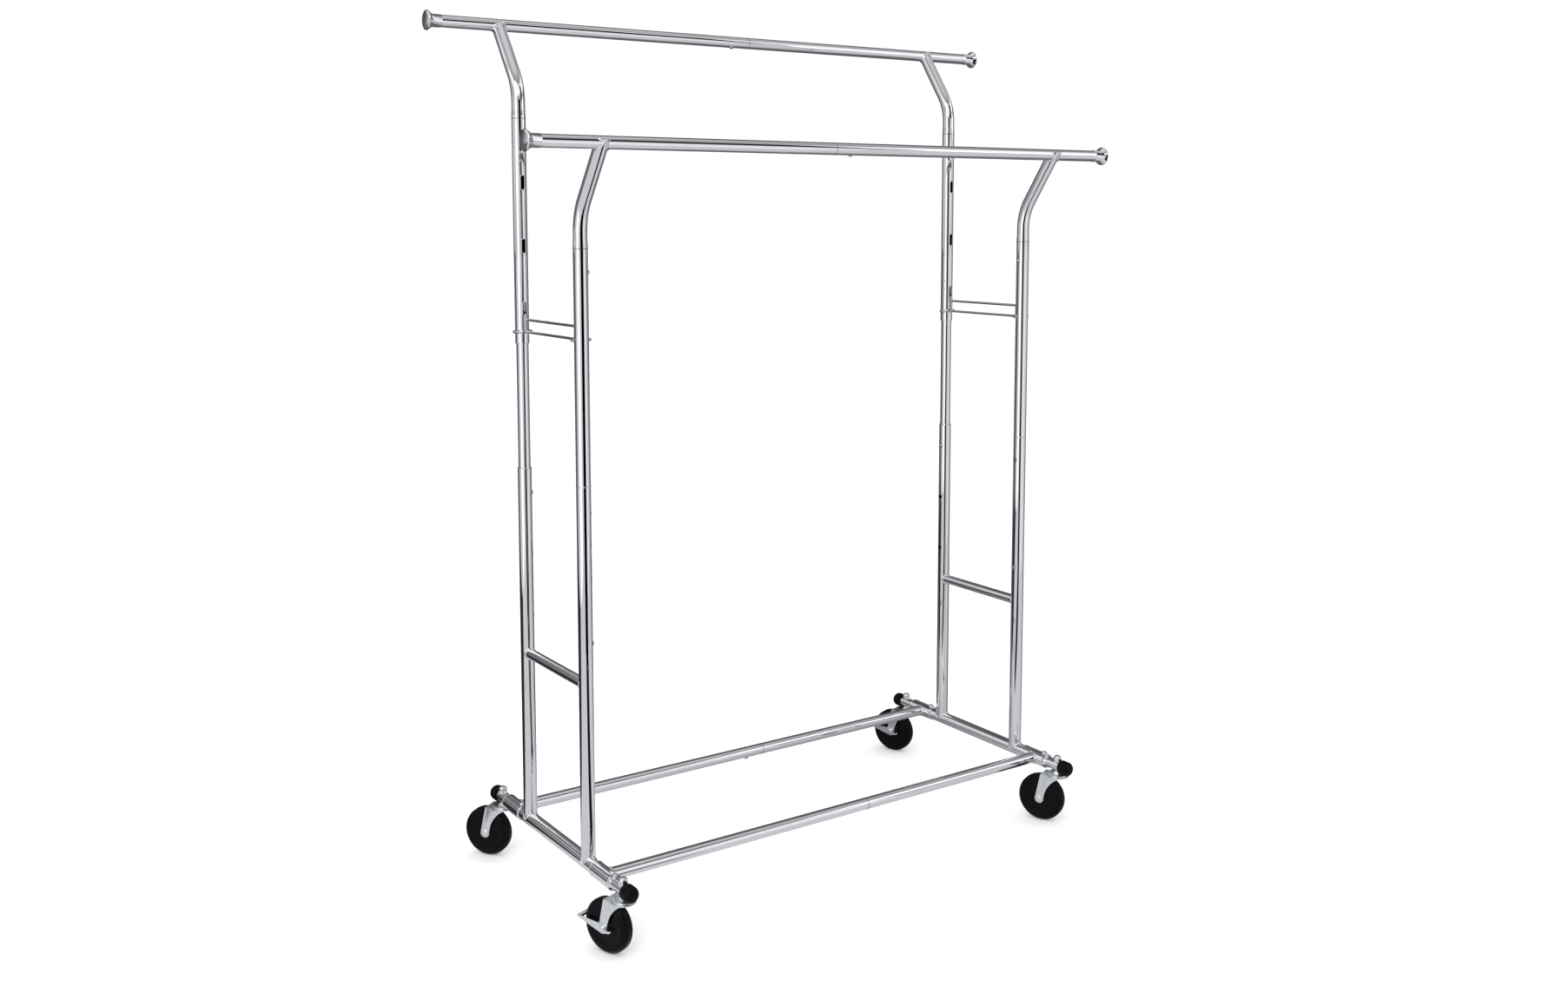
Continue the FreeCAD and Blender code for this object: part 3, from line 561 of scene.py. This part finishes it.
# %% Lips of sleeves and joints of rails
SLEEVE_HALF = 32.0 * MM
for end in ENDS:
    tube_x = middle("end_tube_" + end).x
    for row in ROWS:
        rail_y = middle(f"bottom_rail_{row}_{end}").y
        for shift in (-SLEEVE_HALF, SLEEVE_HALF):
            base_lips.append(ring_line((tube_x, rail_y + shift, base_z), 1, sleeve_r - LIP_DEPTH))
for row in ROWS:
    rail = f"bottom_rail_{row}_left"
    joint = (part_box(rail)[1][0], middle(rail).y, base_z)
    base_joints.append(ring_line(joint, 0, bottom_rail_r - JOINT_DEPTH))
rail_joints = {"front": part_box("hanging_rail_front_right")[0][0],
               "rear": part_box("hanging_rail_rear_left")[1][0]}
for row, x in rail_joints.items():
    at = middle(f"hanging_rail_{row}_left")
    hanger_joints[row].append(ring_line((x, at.y, at.z), 0, rail_r - JOINT_DEPTH))

LIP = {"Bead radius": 0.55 * MM, "Point spacing": 1.2 * MM, "Ripple height": 0.0,
       "Ripple scale": per_mm(5), "Finish": chrome}
lips = grown_on_bodies("lips", base_lips, hanger_lips, LIP)
print("lips:", [len(piece.data.polygons) for piece in lips])

# %% Painted shade lines in joints and holes
# The dark ring is painted shade: the gap of a joint and the edge of a hole lie in shade.
JOINT_SHADE = {**LIP, "Bead radius": 0.5 * MM, "Finish": painted_shade_steel}
joint_shade_lines = grown_on_bodies("joints", base_joints, hanger_joints, JOINT_SHADE)
print("joint lines:", [len(piece.data.polygons) for piece in joint_shade_lines])

# %% [markdown]
# ## Wheels
#
# A caster wheel is moulded in one or two shots: a hub, a dished side with a raised ring, and
# a tyre with rounded shoulders and a slightly raised tread.  A cylinder with bevels would
# lose the ring and the tread line.  All of these are turned about the axle, so the wheel is
# one outline spun round, and it takes its place and its axle from its joint.

# %% The wheel's outline
# Distance from the axle, and half thickness there, in millimetres.
WHEEL_OUTLINE = [
    (4.3, 14.3), (5.0, 14.7), (9.6, 14.7), (11.4, 14.2), (12.6, 12.9), (13.4, 11.6), (15.0, 10.9),
    (20.0, 10.7), (27.0, 11.0), (31.5, 11.4), (33.0, 12.0), (34.6, 12.4), (36.2, 12.3),
    (37.0, 11.8), (37.5, 11.1), (38.2, 11.0), (38.8, 11.5), (40.2, 11.6), (42.0, 11.1),
    (43.8, 9.9), (45.2, 8.4), (46.1, 7.0), (46.5, 6.2), (46.8, 6.1), (47.3, 5.6), (47.5, 4.6),
    (47.5, 2.3),
]
WHEEL_STEPS = 112
MERGE_DISTANCE = 0.002 * MM


def tidy_mesh(name, mesh, sharp_degrees=38.0):
    """Merges doubles, turns faces outwards, shades smooth up to an angle, links the piece."""
    shape = bmesh.new()
    shape.from_mesh(mesh)
    bmesh.ops.remove_doubles(shape, verts=shape.verts, dist=MERGE_DISTANCE)
    bmesh.ops.recalc_face_normals(shape, faces=shape.faces)
    shape.to_mesh(mesh)
    shape.free()
    mesh.shade_smooth()
    mesh.set_sharp_from_angle(angle=math.radians(sharp_degrees))
    piece = bpy.data.objects.new(name, mesh)
    bpy.context.collection.objects.link(piece)
    return piece


def turned(name, outline, centre, axis, steps):
    """Spins a closed outline of (radius, distance along the axis) points about an axis."""
    turn = Vector(axis).normalized().to_track_quat("Z", "Y").to_matrix()
    count = len(outline)
    points, faces = [], []
    for a in round_angles(steps):
        for radius, height in outline:
            spoke = Vector((radius * math.cos(a), radius * math.sin(a), height))
            points.append(tuple(Vector(centre) + turn @ spoke))
    for s in range(steps):
        here, there = s * count, (s + 1) % steps * count
        for n in range(count):
            after = (n + 1) % count
            faces.append((here + n, there + n, there + after, here + after))
    mesh = bpy.data.meshes.new(name)
    mesh.from_pydata(points, [], faces)
    return tidy_mesh(name, mesh)


one_side = [(r * MM, h * MM) for r, h in WHEEL_OUTLINE]
whole_outline = one_side + [(r, -h) for r, h in reversed(one_side)]
joints = {joint["name"]: joint for joint in frame["joints"]}
for corner in CORNERS:
    spin = joints["wheel_spin_" + corner]
    place, axle = spin["pos_m"], spin["axis"]
    tyre = turned("moulded_wheel_" + corner, whole_outline, place, axle, WHEEL_STEPS)
    tyre.data.materials.append(wheel_black)
    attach(tyre, "wheel_" + corner)
    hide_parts("wheel_" + corner)
print("wheels:", len(CORNERS), "with", len(tyre.data.polygons), "faces each")

# %% [markdown]
# ## Painted shade inside the posts
#
# Through a slot or a button hole the eye sees the far wall of the post, which lies in shade.
# The frame's posts have one finish inside and out, so a skin a fraction of a millimetre
# thick lines each bore, painted very dark as painted shade.  It is left open on the side of
# the holes and slots, where buttons and brace hooks pass, and it stays clear of the tube
# that slides inside.


# %% Skins of painted shade inside the posts
SKIN_OUT, SKIN_IN = post_r - 1.1 * MM, post_r - 1.35 * MM
SKIN_STEPS = 40
OPENING = math.radians(90)
LOWER_SKIN = (base_z + 40 * MM, post_top - 4 * MM)
UPPER_SKIN_DROPS = (278 * MM, 58 * MM)


def painted_shade_skin(name, post, open_way, z_range):
    """Part of a thin tube inside a post, dark as painted shade, open round the direction open_way.
    """
    start = math.atan2(open_way[1], open_way[0]) + OPENING / 2
    low, high = z_range
    section = ((SKIN_OUT, low), (SKIN_OUT, high), (SKIN_IN, high), (SKIN_IN, low))
    points, faces = [], []
    for n in range(SKIN_STEPS + 1):
        a = start + (2 * math.pi - OPENING) * n / SKIN_STEPS
        points += [(post.x + radius * math.cos(a), post.y + radius * math.sin(a), z)
                   for radius, z in section]
    for first in range(0, 4 * SKIN_STEPS, 4):
        for k in range(4):
            after = (k + 1) % 4
            faces.append((first + k, first + after, first + 4 + after, first + 4 + k))
    faces += [(3, 2, 1, 0), tuple(4 * SKIN_STEPS + k for k in range(4))]
    mesh = bpy.data.meshes.new(name)
    mesh.from_pydata(points, [], faces)
    skin = tidy_mesh(name, mesh)
    # The dark steel on the skin is painted shade: the far wall of a post lies in shade.
    skin.data.materials.append(painted_shade_steel)
    return skin


for row in ROWS:
    for end in ENDS:
        corner = f"{row}_{end}"
        lower, upper = middle("lower_post_" + corner), middle("upper_post_" + corner)
        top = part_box("upper_post_" + corner)[1][2]
        upper_skin = tuple(top - distance for distance in UPPER_SKIN_DROPS)
        inside = {
            "base": painted_shade_skin("lower_bore_shade_" + corner, lower, (inwards(lower.x), 0.0), LOWER_SKIN),
            row + "_hanger": painted_shade_skin("upper_bore_shade_" + corner, upper, (0.0, inwards(lower.y)),
                                       upper_skin),
        }
        for body, skin in inside.items():
            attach(skin, body)
print("bore skins:", 2 * len(CORNERS))

# %% [markdown]
# ## Softened pressings
#
# A stamped fork or a turned nut never has a razor edge: the press rolls it and barrel
# plating rounds it again.  A bevel on a merged copy of the frame's piece gives those edges
# their thin highlights, and leaves the frame itself untouched.


# %% Softened copies of small frame pieces
FLAT_DEGREES = 1.0
EDGE_DEGREES = 42
EDGE_SEGMENTS = 2


def softened(node, body, finish, edge_mm):
    """A copy of a frame piece with rounded edges, which stands for it."""
    piece = tidy_mesh(node + "_softened", nodes[node].data.copy())
    shape = bmesh.new()
    shape.from_mesh(piece.data)
    bmesh.ops.dissolve_limit(shape, angle_limit=math.radians(FLAT_DEGREES), verts=shape.verts,
                             edges=shape.edges)
    shape.to_mesh(piece.data)
    shape.free()
    rounding = piece.modifiers.new("rounded_edges", "BEVEL")
    rounding.width = edge_mm * MM
    rounding.segments = EDGE_SEGMENTS
    rounding.limit_method = "ANGLE"
    rounding.angle_limit = math.radians(EDGE_DEGREES)
    rounding.harden_normals = True
    piece.data.materials.clear()
    piece.data.materials.append(finish)
    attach(piece, body)
    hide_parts(node)
    return piece


pressings = [
    softened("caster_stems", "base", zinc, 0.4),
    softened("caster_nuts", "base", bright_nut, 0.5),
    softened("sleeve_screws", "base", bright_nut, 0.3),
    softened("end_caps", "base", cap_rubber, 0.6),
    softened("rail_end_discs_front", "front_hanger", chrome, 0.4),
    softened("rail_end_discs_rear", "rear_hanger", chrome, 0.4),
]
for corner in CORNERS:
    fork, body = "caster_fork_" + corner, "caster_" + corner
    pressings.append(softened(fork, body, zinc, 0.6))
for corner in ("front_left", "rear_right"):
    lever, body = "brake_lever_" + corner, "brake_" + corner
    pressings.append(softened(lever, body, bright_nut, 0.4))
print("softened pieces:", len(pressings))

# %% [markdown]
# ## Stage, light and camera
#
# Chrome shows nothing of its own: it is as dark and as bright as what stands round it.  In a
# product studio the object stands on white, and black flags and white softboxes hang just
# out of view to draw crisp lines along the tubes.  Here the same cards are made visible to
# reflections only, so the floor and the rest of the light stay plain.


# %% Floor
def plane_mesh(name, corners):
    """A single face through four corners."""
    mesh = bpy.data.meshes.new(name)
    mesh.from_pydata([tuple(c) for c in corners], [], [(0, 1, 2, 3)])
    piece = bpy.data.objects.new(name, mesh)
    bpy.context.collection.objects.link(piece)
    return piece


# The way the camera looks, on the floor.  Reflections get darker that way.
BACK = (0.42, 0.91, 0.0)
WHITE = (1.0, 1.0, 1.0, 1.0)


def darker_behind(tree, way, near, far):
    """A brightness that falls smoothly from near to far, each (how far back, brightness)."""
    reach = add_node(tree, "ShaderNodeVectorMath", {"operation": "DOT_PRODUCT", 1: BACK}, {0: way})
    settings = {"interpolation_type": "SMOOTHSTEP", "From Min": near[0], "From Max": far[0],
                "To Min": near[1], "To Max": far[1]}
    links = {"Value": reach.outputs["Value"]}
    return add_node(tree, "ShaderNodeMapRange", settings, links).outputs["Result"]


def split_reflections(tree, plain, reflected, output):
    """Shows one shader to reflections and another one to everything else."""
    kind = add_node(tree, "ShaderNodeLightPath").outputs["Is Glossy Ray"]
    links = {0: kind, 1: plain.outputs[0], 2: reflected.outputs[0]}
    either = add_node(tree, "ShaderNodeMixShader", links=links)
    tree.links.new(either.outputs[0], tree.nodes[output].inputs["Surface"])


def floor_paint():
    """White matt floor.  Reflections see it grey, and darker behind the rack, for contrast."""
    paint = bpy.data.materials.new("white_studio_floor")
    paint.use_nodes = True
    tree = paint.node_tree
    shader = tree.nodes["Principled BSDF"]
    shader.inputs["Base Color"].default_value = linear("#FAFAFA")
    shader.inputs["Roughness"].default_value = 0.9
    shader.inputs["Specular IOR Level"].default_value = 0.0
    shader.inputs["Emission Color"].default_value = linear("#FFFFFF")
    shader.inputs["Emission Strength"].default_value = 0.12
    place = add_node(tree, "ShaderNodeTexCoord").outputs["Object"]
    shade = darker_behind(tree, place, (-0.3, 0.72), (0.75, 0.14))
    grey = add_node(tree, "ShaderNodeEmission", {"Color": linear("#FBFBFF")}, {"Strength": shade})
    split_reflections(tree, shader, grey, "Material Output")
    return paint


FLOOR_HALF = 40.0
floor = plane_mesh("floor", [(-FLOOR_HALF, -FLOOR_HALF, 0), (FLOOR_HALF, -FLOOR_HALF, 0),
                             (FLOOR_HALF, FLOOR_HALF, 0), (-FLOOR_HALF, FLOOR_HALF, 0)])
floor.data.materials.append(floor_paint())
print("floor:", 2 * FLOOR_HALF, "m square")


# %% Flags and softboxes seen only in reflections
def reflected_card(name, corners, shade):
    """A card of one brightness that shows only in reflections."""
    card = plane_mesh(name, corners)
    paint = bpy.data.materials.new(name + "_paint")
    paint.use_nodes = True
    tree = paint.node_tree
    tree.nodes.remove(tree.nodes["Principled BSDF"])
    glow = add_node(tree, "ShaderNodeEmission", {"Color": WHITE, "Strength": shade})
    tree.links.new(glow.outputs["Emission"], tree.nodes["Material Output"].inputs["Surface"])
    card.data.materials.append(paint)
    card.visible_camera = False
    card.visible_diffuse = False
    card.visible_shadow = False
    card.visible_transmission = False
    card.visible_volume_scatter = False
    return card


def upright_card(name, x_range, y, z_range, shade):
    """A card in front of the rack, across X."""
    (x0, x1), (z0, z1) = x_range, z_range
    return reflected_card(name, [(x0, y, z0), (x1, y, z0), (x1, y, z1), (x0, y, z1)], shade)


def side_card(name, x, y_range, z_range, shade):
    """A card to one side of the rack, across Y."""
    (y0, y1), (z0, z1) = y_range, z_range
    return reflected_card(name, [(x, y0, z0), (x, y1, z0), (x, y1, z1), (x, y0, z1)], shade)


CARD_HEIGHT = 2 * MM


def flat_card(name, corners, shade):
    """A card that lies on the floor, through four (x, y) corners."""
    return reflected_card(name, [(x, y, CARD_HEIGHT) for x, y in corners], shade)


NEAR_SHAPE = [(-1.10, -1.64), (-0.05, -1.64), (-0.16, -0.42), (-0.42, -0.42)]
LEFT_SHAPE = [(-2.6, 0.33), (-0.38, 0.33), (-0.38, 2.6), (-2.6, 2.6)]
cards = [
    upright_card("flag_near", (-1.22, -0.10), -1.65, (0.0, 1.78), 0.0),
    upright_card("flag_high", (0.10, 1.42), -1.80, (1.80, 2.95), 0.02),
    upright_card("softbox_high", (1.55, 3.2), -1.80, (1.55, 2.2), 1.6),
    upright_card("softbox_front", (0.35, 1.6), -2.2, (0.0, 1.5), 0.95),
    side_card("softbox_left", -2.7, (-2.0, -0.2), (0.0, 2.4), 1.35),
    side_card("flag_right", 2.6, (-0.9, 1.2), (0.0, 2.4), 0.25),
    flat_card("flag_floor_near", NEAR_SHAPE, 0.01),
    flat_card("flag_floor_left", LEFT_SHAPE, 0.03),
]
print("cards:", len(cards))


# %% White room
# Brightness of the reflected room by height: 0 is straight down, 0.5 is level, 1 is up.
ROOM_STEPS = [(0.0, 0.30), (0.47, 0.48), (0.52, 0.70), (0.58, 0.50), (0.64, 0.45), (0.70, 1.30),
              (0.78, 1.0), (0.84, 0.30), (1.0, 0.8)]
BLUE_TINGE = 1.01


def white_room():
    """White to the eye and for the light.  Reflections see it grey, and dark behind the rack."""
    world = bpy.data.worlds.new("white_room")
    bpy.context.scene.world = world
    world.use_nodes = True
    tree = world.node_tree
    way = add_node(tree, "ShaderNodeTexCoord").outputs["Generated"]
    height = add_node(tree, "ShaderNodeSeparateXYZ", links={"Vector": way}).outputs["Z"]
    level = add_node(tree, "ShaderNodeMapRange", {"From Min": -1.0, "From Max": 1.0},
                     {"Value": height})
    ramp = add_node(tree, "ShaderNodeValToRGB", links={"Fac": level.outputs["Result"]})
    stops = ramp.color_ramp.elements
    while len(stops) < len(ROOM_STEPS):
        stops.new(0.5)
    for stop, (place, shade) in zip(stops, ROOM_STEPS):
        stop.position = place
        stop.color = (shade, shade, shade * BLUE_TINGE, 1.0)
    shadow = darker_behind(tree, way, (0.25, 1.0), (0.72, 0.17))
    seen = add_node(tree, "ShaderNodeBackground",
                    links={"Color": ramp.outputs["Color"], "Strength": shadow})
    plain = add_node(tree, "ShaderNodeBackground", {"Color": WHITE, "Strength": 1.05})
    split_reflections(tree, plain, seen, "World Output")
    tree.nodes.remove(tree.nodes["Background"])


white_room()
bpy.context.scene.view_settings.view_transform = "Standard"
print("room: white")


# %% Soft key light
def soft_light(name, place, aim, size, power):
    """A square soft light at a place, turned to a point."""
    lamp = bpy.data.lights.new(name, "AREA")
    lamp.size = size
    lamp.energy = power
    light = bpy.data.objects.new(name, lamp)
    light.location = place
    light.rotation_euler = (Vector(aim) - Vector(place)).to_track_quat("-Z", "Y").to_euler()
    bpy.context.collection.objects.link(light)
    return light


key = soft_light("soft_key", place=(-3.2, -3.0, 3.6), aim=(0, 0, 0.6), size=2.0, power=60)
print("key light:", key.data.energy, "W")

# %% [markdown]
# ### Camera
#
# The camera stands in front and to the left, a little lower than the hanging rails, and
# looks slightly down.  The shifted frame lets it look almost level, so the posts stay
# nearly parallel.

# %% Camera
FRAME_WIDTH = 1805.0
FOCAL = 1713.4
EYE_PLACE = (-1.6521, -2.3414, 1.2362)
TURN, TILT, ROLL = -33.447, 5.770, -0.151
eye = bpy.data.cameras.new("camera")
eye.sensor_width = 36.0
eye.lens = FOCAL / FRAME_WIDTH * eye.sensor_width
eye.shift_x = 0.0267
eye.shift_y = -0.0810
eye.clip_end = 60.0
camera = bpy.data.objects.new("camera", eye)
camera.matrix_world = (
    Matrix.Translation(EYE_PLACE)
    @ Matrix.Rotation(math.radians(TURN), 4, "Z")
    @ Matrix.Rotation(math.radians(90 - TILT), 4, "X")
    @ Matrix.Rotation(math.radians(ROLL), 4, "Z")
)
bpy.context.collection.objects.link(camera)
bpy.context.scene.camera = camera
print(f"camera: {eye.lens:.1f} mm lens")

# %% [markdown]
# ## Finish
#

# %% End
print("done")
